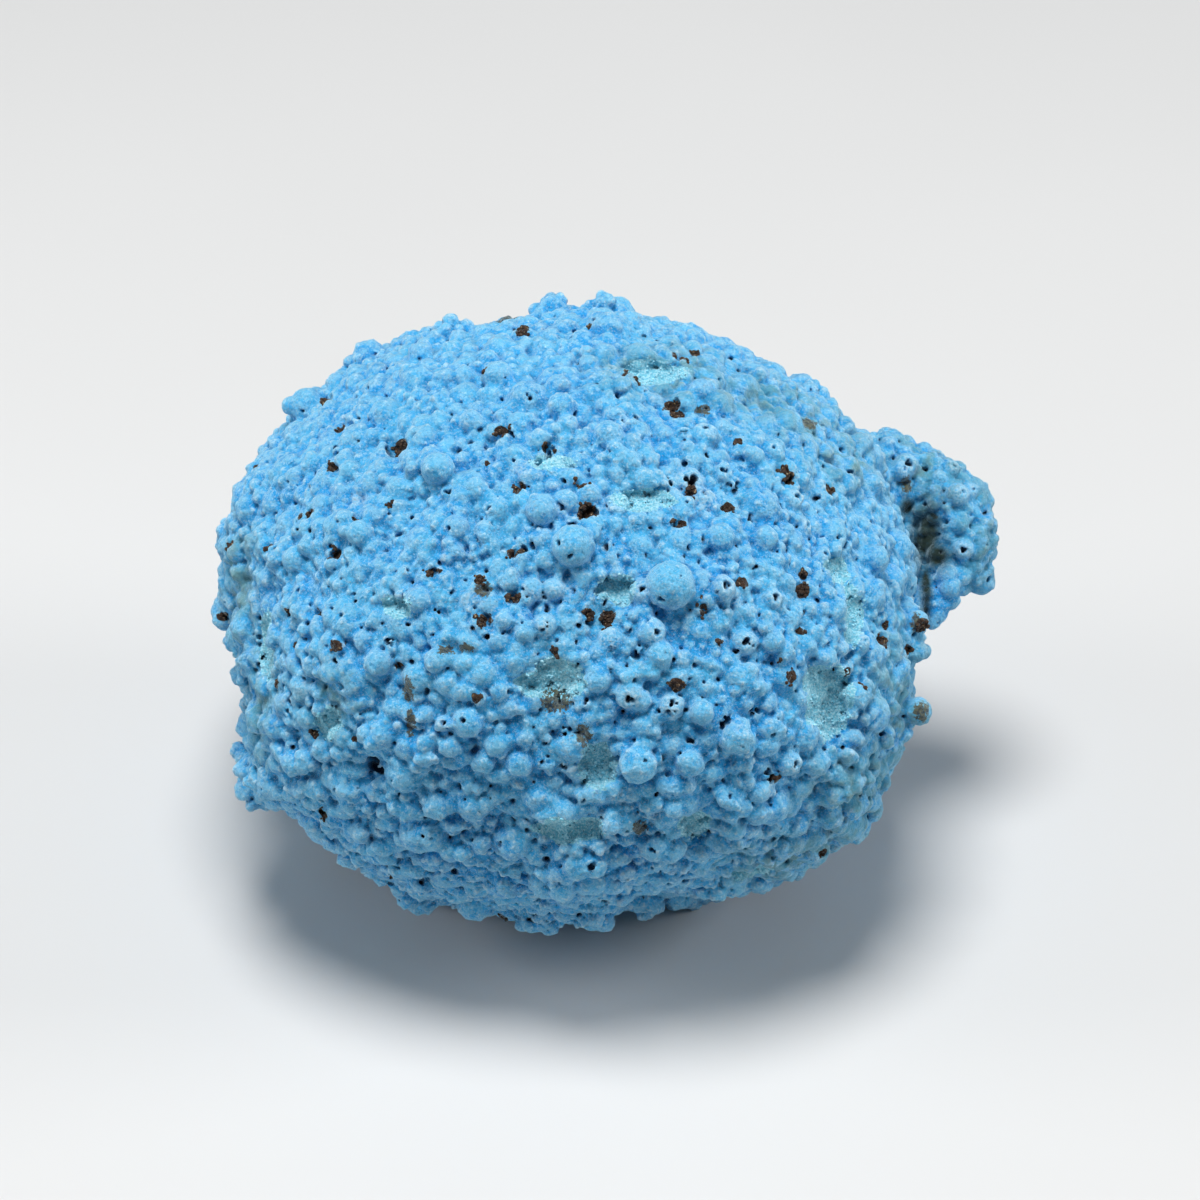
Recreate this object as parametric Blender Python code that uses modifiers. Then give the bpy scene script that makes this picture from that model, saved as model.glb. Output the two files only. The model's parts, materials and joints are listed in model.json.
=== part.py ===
"""A nodule of shattuckite: a rounded ball of fused spherules with one hooked knob.

The nodule grew as one piece, so it is one closed solid. Its outline is measured in a plane
that leans back from upright, the plane that faces someone who looks down on it, and the
body swells from that plane towards the front and the back. Lengths are in millimetres,
and become metres where the mesh is made.
"""

import math
import random

import bmesh
import bpy
import numpy as np
from mathutils import Vector, noise

MM = 0.001

# Centre of the outline, placed so that the nodule with its knob is centred over the origin
CENTRE_PLACE = (-1.9, 0.25, 15.0)
PLANE_LEAN = math.radians(36)
OUTLINE_STEP = math.radians(15)
# Radii of the outline over its lumps, anticlockwise from the right, one each 15 degrees
OUTLINE = (
    19.9, 19.2, 19.0, 18.5, 17.8, 17.6, 17.7, 17.8, 18.3, 19.1, 20.1, 20.6,
    20.4, 19.8, 20.0, 19.3, 18.3, 17.7, 17.7, 17.2, 18.4, 20.1, 20.8, 20.5,
)
FRONT_DEPTH = 17.8
BACK_DEPTH = 17.2
# The top leans away from the viewer by this share of its height over the centre
DEPTH_SHEAR = -0.12
# Two would be an ellipsoid, and more is boxier
FULLNESS = 2.3
SWELL_HEIGHT = 0.4
SWELL_WIDTH = 9.0
# How far the lumps stand out of the smooth body
CRUST = 0.85
# The underside flattens from this height down, and ends at the other
SETTLE_FROM = 2.4
SETTLE_TO = -0.4

# The knob: balls along its bend, as right, up, towards the viewer, and radius
KNOB_BALLS = (
    (15.0, 7.6, -2.8, 2.7),
    (17.2, 7.6, -3.0, 2.6),
    (19.2, 7.1, -3.0, 2.5),
    (20.7, 6.0, -2.8, 2.4),
    (21.4, 4.5, -2.6, 2.3),
    (21.6, 3.0, -2.5, 2.0),
    (22.4, 1.8, -2.7, 1.3),
    (20.3, 1.8, -1.9, 1.3),
    (20.1, 0.6, -1.7, 1.0),
)
KNOB_LUMPS_EACH = 14
KNOB_LUMP_RADIUS = (0.6, 0.95)

# Lumps that stand out, as right, up and radius
NAMED_LUMPS = (
    (-16.6, -8.8, 2.1),
    (-17.9, -9.5, 1.5),
    (-17.2, -10.3, 1.3),
    (-17.9, -8.0, 1.4),
    (-9.6, -16.1, 1.2),
    (-8.9, -15.0, 1.5),
    (-1.4, 16.6, 1.3),
    (1.4, 16.4, 1.3),
    (13.3, 11.9, 1.5),
    (14.6, 10.5, 1.2),
    (-12.0, 13.4, 1.4),
    (-7.0, 15.3, 1.4),
    (18.6, -0.8, 1.3),
    (18.2, -5.6, 1.3),
    (-1.6, -16.6, 1.5),
    (0.9, -16.4, 1.5),
    (-5.2, -16.0, 1.5),
    (3.5, -16.0, 1.4),
    (5.2, 1.3, 1.35),
    (-0.1, 3.6, 1.3),
    (-1.9, 5.4, 1.1),
    (-7.8, 7.7, 1.35),
    (-11.9, 4.1, 1.4),
    (8.8, -7.0, 1.15),
    (8.6, -11.9, 1.0),
    (7.2, -5.6, 1.2),
)

# Hollows in the crust, as right, up and the two half widths
HOLLOWS = (
    (13.8, -5.0, 1.7, 2.4),
    (15.1, -0.4, 0.8, 1.7),
    (14.3, 2.2, 1.0, 0.8),
    (-1.2, -4.0, 2.1, 1.1),
    (1.2, -8.4, 1.0, 1.5),
    (-0.6, -12.1, 2.3, 0.9),
    (6.4, -11.7, 1.2, 1.2),
    (2.4, 1.1, 1.1, 0.9),
    (3.8, 6.1, 2.0, 0.7),
    (-1.3, 8.1, 1.5, 0.6),
    (-9.7, 0.2, 0.9, 0.8),
    (-17.0, -1.8, 0.6, 2.2),
    (-13.6, -6.2, 0.9, 1.0),
    (9.5, -14.2, 1.4, 0.7),
    (4.3, 13.1, 1.8, 0.8),
)
FAR_HOLLOWS = 16
FAR_HOLLOW_WIDTH = (1.0, 2.3)
HOLLOW_SPACING = 7.0

# Pits where the crust didn't close, as right, up and radius
PITS = (
    (-9.7, 9.0, 0.75),
    (5.6, 11.0, 0.75),
    (-10.9, -8.5, 0.9),
    (-9.7, -15.4, 0.9),
    (-5.0, -1.5, 0.7),
    (6.1, 6.8, 0.7),
    (8.5, 5.7, 0.6),
    (1.8, -0.7, 0.65),
    (12.6, 1.1, 0.6),
    (-9.3, -4.7, 0.7),
    (-16.9, 0.2, 0.6),
    (5.7, -4.3, 0.6),
    (11.3, -9.4, 0.6),
    (-14.4, -6.9, 0.6),
    (-2.9, 15.3, 0.65),
)
FAR_PITS = 26
PIT_RADIUS = (0.55, 0.85)
PIT_SPACING = 3.0
PIT_DEPTH = 1.1
PIT_WIDTH = 1.8
FAR_TRIES = 400

# Feet: the lumps that the nodule rests on, as x, y and radius, cut flat underneath
FEET = (
    (-10.4, -6.2, 1.5),
    (4.2, -6.4, 1.8),
    (-7.4, 5.2, 1.7),
    (3.6, 5.8, 1.8),
)
FOOT_RISE = 0.9

# The crust's other lumps: how near two may be and how deep they sit, as shares of their radii
LUMP_RADIUS = (1.15, 2.15)
LUMP_CLOSENESS = 0.62
LUMP_TRIES = 14000
LUMP_SINK = 0.42
NAMED_SINK = 0.25
SEED = 7

# Width of the faces in which the shapes are fused, before the skin is thinned
GRAIN = 0.34
MOST_TRIANGLES = 9400

RIGHT = Vector((1, 0, 0))
UP = Vector((0, math.sin(PLANE_LEAN), math.cos(PLANE_LEAN)))
NEAR = Vector((0, -math.cos(PLANE_LEAN), math.sin(PLANE_LEAN)))
CENTRE = Vector(CENTRE_PLACE)


def outline_radius(angle):
    """The outline's radius at an angle, on a smooth closed curve through OUTLINE."""
    place = (angle / OUTLINE_STEP) % len(OUTLINE)
    first = int(place)
    t = place - first
    a, b, c, d = (OUTLINE[(first + i) % len(OUTLINE)] for i in (-1, 0, 1, 2))
    bend = (2 * a - 5 * b + 4 * c - d) * t * t + (3 * b - a - 3 * c + d) * t**3
    return (2 * b + (c - a) * t + bend) / 2


def in_space(right, up, near):
    """A point of the leaning plane's axes, in the nodule's own frame."""
    return CENTRE + RIGHT * right + UP * up + NEAR * near


def swollen(direction):
    """The body's surface in a direction of the leaning plane's axes, before any lump."""
    side = math.hypot(direction.x, direction.y)
    angle = math.atan2(direction.y, direction.x)
    depth = FRONT_DEPTH if direction.z > 0 else BACK_DEPTH
    size = (side**FULLNESS + abs(direction.z) ** FULLNESS) ** (-1 / FULLNESS)
    reach = (outline_radius(angle) - CRUST) * side * size
    up = reach * math.sin(angle)
    near = depth * direction.z * size + DEPTH_SHEAR * up
    return in_space(reach * math.cos(angle), up, near)


def on_front(right, up):
    """The point of the body's front that lies over a point of the outline's plane."""
    share = math.hypot(right, up) / (outline_radius(math.atan2(up, right)) - CRUST)
    rise = max(0.0, 1 - min(share, 1.0) ** FULLNESS) ** (1 / FULLNESS)
    return in_space(right, up, FRONT_DEPTH * rise + DEPTH_SHEAR * up)


def settled(point):
    """A point of the underside, moved to where the nodule has flattened."""
    if point.z < SETTLE_FROM:
        room = SETTLE_FROM - SETTLE_TO
        point.z = SETTLE_TO + room * math.exp((point.z - SETTLE_FROM) / room)
    return point


def body_mesh(subdivisions):
    """The smooth body under the lumps, with its broad swells."""
    bm = bmesh.new()
    bmesh.ops.create_icosphere(bm, subdivisions=subdivisions, radius=1.0)
    for vertex in bm.verts:
        point = swollen(vertex.co.normalized())
        swell = noise.noise(point / SWELL_WIDTH) * 2 * SWELL_HEIGHT
        vertex.co = settled(point + (point - CENTRE).normalized() * (swell - SWELL_HEIGHT))
    bm.normal_update()
    return bm


def scattered(bm, rng, tries):
    """Random points on a triangle mesh, even over its area, each with its normal."""
    faces = list(bm.faces)
    areas = [face.calc_area() for face in faces]
    for face in rng.choices(faces, weights=areas, k=tries):
        a, b, c = (v.co for v in face.verts)
        s, t = rng.random(), rng.random()
        if s + t > 1:
            s, t = 1 - s, 1 - t
        yield a + (b - a) * s + (c - a) * t, face.normal.copy()


def hollow_places(bm, rng):
    """Centres and half widths of all hollows: those of the front, and some behind."""
    places = [(on_front(right, up), wide, high) for right, up, wide, high in HOLLOWS]
    for point, normal in scattered(bm, rng, FAR_TRIES):
        if len(places) == len(HOLLOWS) + FAR_HOLLOWS:
            break
        clear = all((point - other).length > HOLLOW_SPACING for other, _, _ in places)
        if normal.dot(NEAR) < -0.15 and normal.z > -0.75 and clear:
            wide = rng.uniform(*FAR_HOLLOW_WIDTH)
            places.append((point, wide, rng.uniform(0.5, 1.0) * wide))
    return places


def in_hollow(point, hollows):
    """Whether a point lies in one of the hollows."""
    for centre, wide, high in hollows:
        gap = point - centre
        across = gap.dot(RIGHT) / wide
        along = (gap - RIGHT * gap.dot(RIGHT)).length / high
        if across * across + along * along < 1:
            return True
    return False


def lumps(bm, hollows, rng):
    """The lumps of the crust as centre and radius, close together but not on a hollow."""
    made = [(Vector((x, y, FOOT_RISE)), radius) for x, y, radius in FEET]
    for right, up, radius in NAMED_LUMPS:
        point = on_front(right, up)
        inwards = (CENTRE - point).normalized()
        made.append((point + inwards * radius * NAMED_SINK, radius))
    made += [(in_space(*ball[:3]), ball[3]) for ball in KNOB_BALLS]
    centres = np.zeros((len(made) + LUMP_TRIES, 3))
    sizes = np.zeros(len(made) + LUMP_TRIES)
    for index, (centre, radius) in enumerate(made):
        centres[index] = centre
        sizes[index] = radius
    for point, normal in scattered(bm, rng, LUMP_TRIES):
        radius = rng.triangular(LUMP_RADIUS[0], LUMP_RADIUS[1], LUMP_RADIUS[0])
        centre = point - normal * radius * LUMP_SINK
        count = len(made)
        gaps = np.linalg.norm(centres[:count] - np.array(centre), axis=1)
        close = np.any(gaps < (sizes[:count] + radius) * LUMP_CLOSENESS)
        if not close and not in_hollow(point, hollows):
            centres[count] = centre
            sizes[count] = radius
            made.append((centre, radius))
    return made


def knob_lumps(rng):
    """Small lumps all over the knob, as centre and radius."""
    made = []
    for right, up, near, size in KNOB_BALLS:
        ball = in_space(right, up, near)
        for _ in range(KNOB_LUMPS_EACH):
            way = Vector([rng.gauss(0, 1) for _ in range(3)]).normalized()
            radius = rng.uniform(*KNOB_LUMP_RADIUS)
            centre = ball + way * (size - radius * LUMP_SINK)
            if all((centre - other).length > radius for other, _ in made):
                made.append((centre, radius))
    return made


def pit_places(bm, rng):
    """Centres and radii of all pits: those of the front, and some behind."""
    places = [(on_front(right, up), radius) for right, up, radius in PITS]
    for point, normal in scattered(bm, rng, FAR_TRIES):
        if len(places) == len(PITS) + FAR_PITS:
            break
        clear = all((point - other).length > PIT_SPACING for other, _ in places)
        if normal.dot(NEAR) < 0.1 and point.z > 2.5 and clear:
            places.append((point, rng.uniform(*PIT_RADIUS)))
    return places


def evaluated(obj):
    """Replaces an object's mesh with what its modifiers make of it."""
    graph = bpy.context.evaluated_depsgraph_get()
    mesh = bpy.data.meshes.new_from_object(obj.evaluated_get(graph))
    obj.modifiers.clear()
    obj.data = mesh


def fused(obj):
    """Joins all overlapping shapes of an object into one skin of even, small faces."""
    remesh = obj.modifiers.new("fuse", "REMESH")
    remesh.mode = "VOXEL"
    remesh.voxel_size = GRAIN * MM
    smooth = obj.modifiers.new("soften", "SMOOTH")
    smooth.factor = 0.5
    smooth.iterations = 3
    evaluated(obj)


def islands(bm):
    """The sets of vertices that hang together, each with its own."""
    left = set(bm.verts)
    while left:
        island = {left.pop()}
        edge_of_island = list(island)
        while edge_of_island:
            vertex = edge_of_island.pop()
            for edge in vertex.link_edges:
                other = edge.other_vert(vertex)
                if other in left:
                    left.remove(other)
                    island.add(other)
                    edge_of_island.append(other)
        yield island


def filled(obj):
    """Keeps the outermost skin alone, so that no bubble is left sealed inside it."""
    bm = bmesh.new()
    bm.from_mesh(obj.data)
    skins = sorted(islands(bm), key=len)
    inner = [vertex for skin in skins[:-1] for vertex in skin]
    bmesh.ops.delete(bm, geom=inner, context="VERTS")
    bm.to_mesh(obj.data)
    bm.free()


def pressed(obj, pits):
    """Presses the pits into the skin."""
    count = len(obj.data.vertices)
    points = np.empty(count * 3, dtype=np.float32)
    normals = np.empty(count * 3, dtype=np.float32)
    obj.data.vertices.foreach_get("co", points)
    obj.data.vertex_normals.foreach_get("vector", normals)
    points = points.reshape(-1, 3)
    normals = normals.reshape(-1, 3)
    for centre, radius in pits:
        gap = np.linalg.norm(points - np.array(centre) * MM, axis=1) / (radius * PIT_WIDTH * MM)
        depth = PIT_DEPTH * radius * MM * np.clip(1 - gap**2, 0, 1)
        points -= normals * depth[:, None]
    obj.data.vertices.foreach_set("co", points.ravel())


def thinned(obj):
    """Brings the skin down to the triangles that its lumps and pits need."""
    bm = bmesh.new()
    bm.from_mesh(obj.data)
    bmesh.ops.triangulate(bm, faces=bm.faces)
    count = len(bm.faces)
    bm.to_mesh(obj.data)
    bm.free()
    thin = obj.modifiers.new("thin", "DECIMATE")
    thin.ratio = MOST_TRIANGLES / count
    thin.use_collapse_triangulate = True
    evaluated(obj)


def cut_flat(obj):
    """Cuts the feet flat at the surface that the nodule stands on."""
    bm = bmesh.new()
    bm.from_mesh(obj.data)
    geometry = bm.verts[:] + bm.edges[:] + bm.faces[:]
    floor = {"plane_co": (0, 0, 0), "plane_no": (0, 0, -1)}
    bmesh.ops.bisect_plane(bm, geom=geometry, clear_outer=True, **floor)
    rims = [edge for edge in bm.edges if edge.is_boundary]
    bmesh.ops.holes_fill(bm, edges=rims, sides=0)
    bmesh.ops.triangulate(bm, faces=bm.faces)
    bmesh.ops.recalc_face_normals(bm, faces=bm.faces)
    bm.to_mesh(obj.data)
    bm.free()


def stone():
    """Sky-blue, fine-grained and matt."""
    material = bpy.data.materials.new("azure crust")
    material.use_nodes = True
    shader = material.node_tree.nodes["Principled BSDF"]
    shader.inputs["Base Color"].default_value = (0.13, 0.42, 0.75, 1)
    shader.inputs["Roughness"].default_value = 0.85
    shader.inputs["Metallic"].default_value = 0
    return material


def with_balls(body, balls):
    """One mesh of the body and every ball, still overlapping, in metres."""
    ball = bmesh.new()
    bmesh.ops.create_icosphere(ball, subdivisions=3, radius=1.0)
    shell = np.array([vertex.co for vertex in ball.verts])
    sides = np.array([[vertex.index for vertex in face.verts] for face in ball.faces])
    points = [np.array([vertex.co for vertex in body.verts])]
    faces = [np.array([[vertex.index for vertex in face.verts] for face in body.faces])]
    start = len(points[0])
    for centre, radius in balls:
        points.append(shell * radius + np.array(centre))
        faces.append(sides + start)
        start += len(shell)
    ball.free()
    mesh = bpy.data.meshes.new("shattuckite_nodule")
    mesh.from_pydata(np.concatenate(points) * MM, [], np.concatenate(faces))
    return mesh


def nodule(collection):
    """The whole nodule: body, crust of lumps and knob, fused into one solid."""
    rng = random.Random(SEED)
    body = body_mesh(5)
    hollows = hollow_places(body, rng)
    pits = pit_places(body, rng)
    mesh = with_balls(body, lumps(body, hollows, rng) + knob_lumps(rng))
    body.free()
    obj = bpy.data.objects.new("shattuckite_nodule", mesh)
    collection.objects.link(obj)
    fused(obj)
    filled(obj)
    pressed(obj, pits)
    thinned(obj)
    cut_flat(obj)
    filled(obj)
    obj.data.materials.clear()
    obj.data.materials.append(stone())


def main():
    for old in list(bpy.data.objects):
        bpy.data.objects.remove(old)
    collection = bpy.data.collections.new("shattuckite")
    bpy.context.scene.collection.children.link(collection)
    nodule(collection)


main()
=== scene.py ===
import json
import math

import bmesh
import bpy
import numpy as np
from mathutils import Matrix, Vector, noise
from mathutils.bvhtree import BVHTree

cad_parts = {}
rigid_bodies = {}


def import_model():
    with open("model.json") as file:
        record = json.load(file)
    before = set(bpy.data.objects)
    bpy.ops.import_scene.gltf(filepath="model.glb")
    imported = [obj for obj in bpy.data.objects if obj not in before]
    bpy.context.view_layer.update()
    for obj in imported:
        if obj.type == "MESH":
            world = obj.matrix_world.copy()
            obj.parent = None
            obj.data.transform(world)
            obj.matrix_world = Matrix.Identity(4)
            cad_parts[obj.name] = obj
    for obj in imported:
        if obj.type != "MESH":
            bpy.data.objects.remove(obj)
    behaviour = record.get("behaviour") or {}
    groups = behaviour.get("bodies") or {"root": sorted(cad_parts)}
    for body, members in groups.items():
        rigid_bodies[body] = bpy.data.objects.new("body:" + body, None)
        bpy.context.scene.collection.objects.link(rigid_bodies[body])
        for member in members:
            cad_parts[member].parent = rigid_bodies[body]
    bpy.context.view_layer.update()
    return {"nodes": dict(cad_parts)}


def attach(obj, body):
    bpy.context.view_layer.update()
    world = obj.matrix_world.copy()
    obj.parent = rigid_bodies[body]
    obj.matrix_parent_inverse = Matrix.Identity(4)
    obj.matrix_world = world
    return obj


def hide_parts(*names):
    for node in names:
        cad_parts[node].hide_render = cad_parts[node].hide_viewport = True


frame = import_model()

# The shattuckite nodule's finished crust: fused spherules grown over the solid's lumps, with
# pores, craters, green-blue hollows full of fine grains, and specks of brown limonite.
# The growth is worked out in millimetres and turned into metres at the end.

MM = 0.001
NODE = "shattuckite_nodule"

# The photograph's frame, and where the body's centre stands in it and in space
PICTURE = 1200
CENTRE_PIXEL = (575, 610)
CENTRE = Vector((-1.9, 0.25, 15.0))
PIXEL = 0.0553
LOOK_DOWN = math.radians(36)
CAMERA_AWAY = 275.0
SENSOR = 36.0

RIGHT = Vector((1, 0, 0))
UP = Vector((0, math.sin(LOOK_DOWN), math.cos(LOOK_DOWN)))
NEAR = Vector((0, -math.cos(LOOK_DOWN), math.sin(LOOK_DOWN)))

# Fineness of the fused crust, and the most triangles of its skin
GRAIN = 0.10
SKIN_TRIANGLES = 800_000
SLABS = 5

# Green-blue hollows that the crust left open: x, y and the two half widths in pixels
HOLLOWS = (
    (825, 700, 31, 44),
    (849, 619, 15, 32),
    (834, 571, 18, 15),
    (553, 682, 38, 20),
    (596, 762, 18, 27),
    (564, 829, 42, 17),
    (691, 821, 22, 22),
    (618, 588, 20, 16),
    (643, 500, 36, 13),
    (551, 464, 27, 9),
    (399, 607, 16, 14),
    (268, 646, 11, 40),
    (329, 722, 16, 18),
    (746, 868, 25, 13),
    (653, 373, 32, 14),
)

# Limonite specks in pits of the crust: x, y and radius in pixels
SPECKS = (
    (399, 447, 10), (673, 405, 7), (679, 414, 8), (522, 330, 7), (326, 400, 6), (340, 430, 6),
    (333, 467, 5), (502, 430, 6), (545, 448, 5), (485, 368, 3), (389, 505, 4), (582, 485, 6),
    (586, 513, 8), (356, 520, 4), (522, 486, 4), (487, 463, 3), (255, 466, 4), (270, 545, 5),
    (229, 545, 5), (336, 556, 6), (310, 514, 4), (299, 516, 4), (512, 554, 4), (430, 573, 4),
    (480, 579, 5), (516, 598, 5), (589, 327, 4), (676, 358, 6), (695, 352, 5), (627, 373, 4),
    (638, 382, 4), (738, 440, 5), (788, 477, 7), (828, 489, 6), (728, 507, 7), (680, 525, 5),
    (691, 491, 5), (743, 582, 6), (803, 575, 5), (802, 591, 7), (483, 621, 6), (590, 614, 5),
    (607, 618, 7), (605, 627, 6), (554, 652, 6), (289, 612, 4), (319, 615, 4), (334, 646, 7),
    (296, 645, 4), (399, 664, 4), (476, 699, 5), (223, 617, 6), (275, 684, 5), (314, 734, 5),
    (355, 739, 4), (323, 814, 5), (393, 878, 4), (502, 922, 5), (678, 688, 8), (704, 607, 4),
    (721, 643, 4), (800, 631, 5), (792, 677, 7), (781, 662, 4), (848, 671, 5), (883, 641, 7),
    (886, 625, 4), (924, 626, 9), (906, 651, 5), (864, 685, 4), (779, 780, 5), (824, 853, 5),
)

# Olive stains where limonite shows through: x, y, half width and half height in pixels
STAINS = (
    (483, 590, 9, 7), (446, 650, 8, 5), (466, 648, 7, 5), (408, 690, 6, 13), (411, 722, 5, 14),
    (556, 700, 16, 12), (584, 735, 8, 11), (640, 828, 7, 8), (922, 712, 9, 10),
    (703, 410, 8, 5), (810, 423, 14, 6), (906, 484, 6, 9), (934, 516, 4, 3), (916, 622, 5, 10),
)

# Shaded spots of the valley between the knob and the body, in the same four numbers
SHADES = (
    (926, 536, 17, 34), (926, 592, 6, 36), (936, 556, 16, 14), (907, 507, 8, 9),
)

# Broad greenish tints: x, y, half width and half height in pixels
TINTS = (
    (665, 372, 60, 26), (760, 395, 70, 22), (820, 430, 50, 26), (930, 470, 45, 50),
    (985, 530, 25, 60), (850, 460, 40, 22), (240, 590, 20, 60), (262, 700, 20, 50),
    (900, 720, 40, 90), (860, 800, 60, 50), (790, 860, 70, 26), (330, 700, 26, 30),
)

# Spherules that stand out: x, y and radius in pixels
BALLS = (
    (541, 511, 15), (565, 503, 12), (587, 497, 12), (573, 545, 20), (670, 586, 23),
    (702, 712, 12), (732, 825, 13), (735, 736, 16), (613, 642, 14), (544, 626, 12),
    (437, 470, 16), (360, 535, 13), (500, 380, 15), (660, 655, 14), (470, 720, 15),
    (640, 760, 18), (520, 760, 14), (870, 560, 14), (770, 640, 12), (420, 600, 13),
    (610, 440, 15), (560, 410, 14), (720, 540, 14), (455, 530, 13), (300, 560, 14),
    (380, 660, 13), (300, 760, 14), (440, 800, 15), (690, 760, 14), (850, 760, 13),
    (705, 688, 9), (640, 700, 11), (530, 590, 12), (555, 590, 11), (763, 540, 13),
    (947, 574, 10), (948, 585, 11), (947, 597, 11),
    (915, 622, 11), (916, 712, 14), (410, 893, 13), (424, 900, 12), (416, 905, 12),
)

# Spherules that hang free at the end of the knob's lobe, and the pixel that gives their depth
LOBE = ((944, 592, 12), (941, 603, 12), (937, 613, 11), (932, 621, 9))
LOBE_ROOT = (947, 590)

# Spherules with a hole in their top: x, y, radius and hole radius in pixels
CRATERS = (
    (704, 440, 14, 4), (686, 487, 17, 8), (703, 503, 12, 5), (787, 503, 13, 4),
    (721, 590, 13, 5), (645, 594, 14, 4), (649, 632, 14, 4), (743, 642, 13, 5),
    (670, 707, 13, 5), (629, 692, 14, 5), (735, 732, 14, 3), (786, 762, 13, 4),
    (544, 626, 11, 4), (613, 645, 13, 4), (524, 600, 9, 3), (545, 597, 8, 3),
    (855, 645, 12, 3), (770, 600, 11, 4), (560, 512, 9, 3), (900, 470, 12, 3),
    (957, 496, 12, 4), (905, 467, 13, 5), (963, 548, 11, 4), (950, 470, 9, 3),
)

# Dark cavities: x, y and radius in pixels
CAVITIES = (
    (378, 764, 10), (370, 758, 7), (485, 638, 6), (419, 884, 6), (260, 620, 6),
    (260, 640, 6), (262, 660, 6), (769, 772, 8), (774, 781, 7), (560, 730, 7), (552, 738, 6),
    (576, 695, 4), (668, 480, 7), (732, 486, 8), (723, 470, 5), (571, 522, 7), (532, 545, 6),
    (607, 540, 7), (612, 548, 6), (706, 537, 6), (737, 545, 6), (683, 432, 6), (617, 397, 5),
    (632, 415, 5), (537, 392, 4), (840, 540, 6), (843, 552, 6), (891, 582, 5), (577, 625, 6),
    (577, 641, 5), (541, 630, 4), (610, 650, 5), (632, 680, 5), (643, 653, 7), (668, 713, 6),
    (691, 740, 6), (728, 722, 7), (755, 712, 6), (546, 760, 6), (525, 754, 5), (547, 863, 6),
    (594, 868, 6), (603, 905, 8), (533, 914, 7), (497, 842, 5), (427, 842, 7), (340, 690, 6),
    (356, 600, 5), (290, 700, 6), (430, 690, 5), (390, 640, 6), (512, 690, 5), (450, 735, 5),
)

# Whitish fuzz on the crust, in the same four numbers as the stains
FUZZ = (
    (622, 798, 14, 7), (655, 815, 8, 5), (772, 790, 12, 8), (560, 590, 14, 9), (705, 505, 10, 8),
    (735, 600, 10, 8), (667, 480, 9, 6), (300, 690, 8, 10), (250, 600, 8, 14), (470, 600, 12, 7),
    (846, 650, 8, 10), (600, 745, 8, 5), (520, 470, 12, 7), (610, 505, 10, 6), (360, 500, 10, 8),
)

SEED = 11

# Green-blue hollows on the sides that the photograph hides, and plain spots of limonite there
HIDDEN_HOLLOWS = 16
HIDDEN_SPECKS = 60
HIDDEN_STAINS = 8

# How far the solid's skin moves in to make room for the crust
INSET = 0.5

# Lumps that make the crust: how many are tried, their radii, and how high they sit on the
# ground as a share of their radius
LUMP_SIZES = (
    (1300, 0.70, 1.08, 0.92, -0.42, -0.02),
    (8000, 0.44, 0.70, 0.78, -0.20, 0.35),
    (26000, 0.30, 0.44, 0.72, 0.00, 0.65),
    (40000, 0.20, 0.30, 0.74, 0.20, 1.00),
)
BUMPS = 5000

# Spherules smaller than this fill the gaps between the others
FILLER = 0.44

# Patches of the crust differ in how far their spherules stand out: the size of a patch, and
# the least and the most that it adds, as a share of a spherule's radius
PATCH = 3.6
PATCH_RISE = 0.28

# The crust is calmer high up on the nodule and more rugged low down: what that adds to the
# lift of the large spherules and of the small ones between them
CALM = (-0.18, -0.28)
RUGGED = (0.06, -0.46)
HIGH = (0.02, -0.18)

# How much larger the spherules grow low down, and how much smoother they are high up
LOW_GROWTH = 0.06
LEVEL = 0.6
HIGH_SMOOTH = 0.5

# Where the knob starts, along x, and how much lower the spherules stand on its smoother crust
KNOB_START = 13.0
KNOB_SUNK = 0.2
KNOB_SMOOTH = 0.45

# How deep the hollows are cut, and the size of the cutting balls
HOLLOW_DEPTH = 0.4
HOLLOW_BALL = 0.42

# Unevenness of the finished skin, how high and how far apart: waves, and lumps on the spherules
ROUGH_HEIGHT = 0.38
ROUGH_SIZE = 0.6
LUMP_HEIGHT = 0.22
LUMP_SIZE = 0.42
PORES = 2600

# What is kept on each point for the material to read
MEASURES = ("bored", "fine", "rise", "tone", "hollow", "speck", "stain", "ring", "tint", "shade")

# Grains in the hollows and crumbs of limonite: how many a square millimetre, and their sizes
DRUSE = (16, 0.05, 0.10)
CRUMBS = (26, 0.07, 0.16)


def at_pixel(x, y):
    """Where the camera stands, and which way it looks through a pixel."""
    across = (x - PICTURE / 2) * PIXEL
    down = (y - PICTURE / 2) * PIXEL
    return EYE, (AIM + RIGHT * across - UP * down - EYE).normalized()


AIM = (
    CENTRE
    + RIGHT * (PICTURE / 2 - CENTRE_PIXEL[0]) * PIXEL
    + UP * (CENTRE_PIXEL[1] - PICTURE / 2) * PIXEL
)
EYE = AIM + NEAR * CAMERA_AWAY


def camera():
    """Stands where the photograph was taken from."""
    data = bpy.data.cameras.new("camera")
    data.sensor_width = SENSOR
    data.lens = SENSOR * CAMERA_AWAY / (PICTURE * PIXEL)
    data.clip_start = 0.01
    obj = bpy.data.objects.new("camera", data)
    obj.location = EYE * MM
    obj.rotation_euler = (math.pi / 2 - LOOK_DOWN, 0, 0)
    bpy.context.scene.collection.objects.link(obj)
    bpy.context.scene.camera = obj


def linked(name, mesh):
    obj = bpy.data.objects.new(name, mesh)
    bpy.context.scene.collection.objects.link(obj)
    return obj


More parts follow.
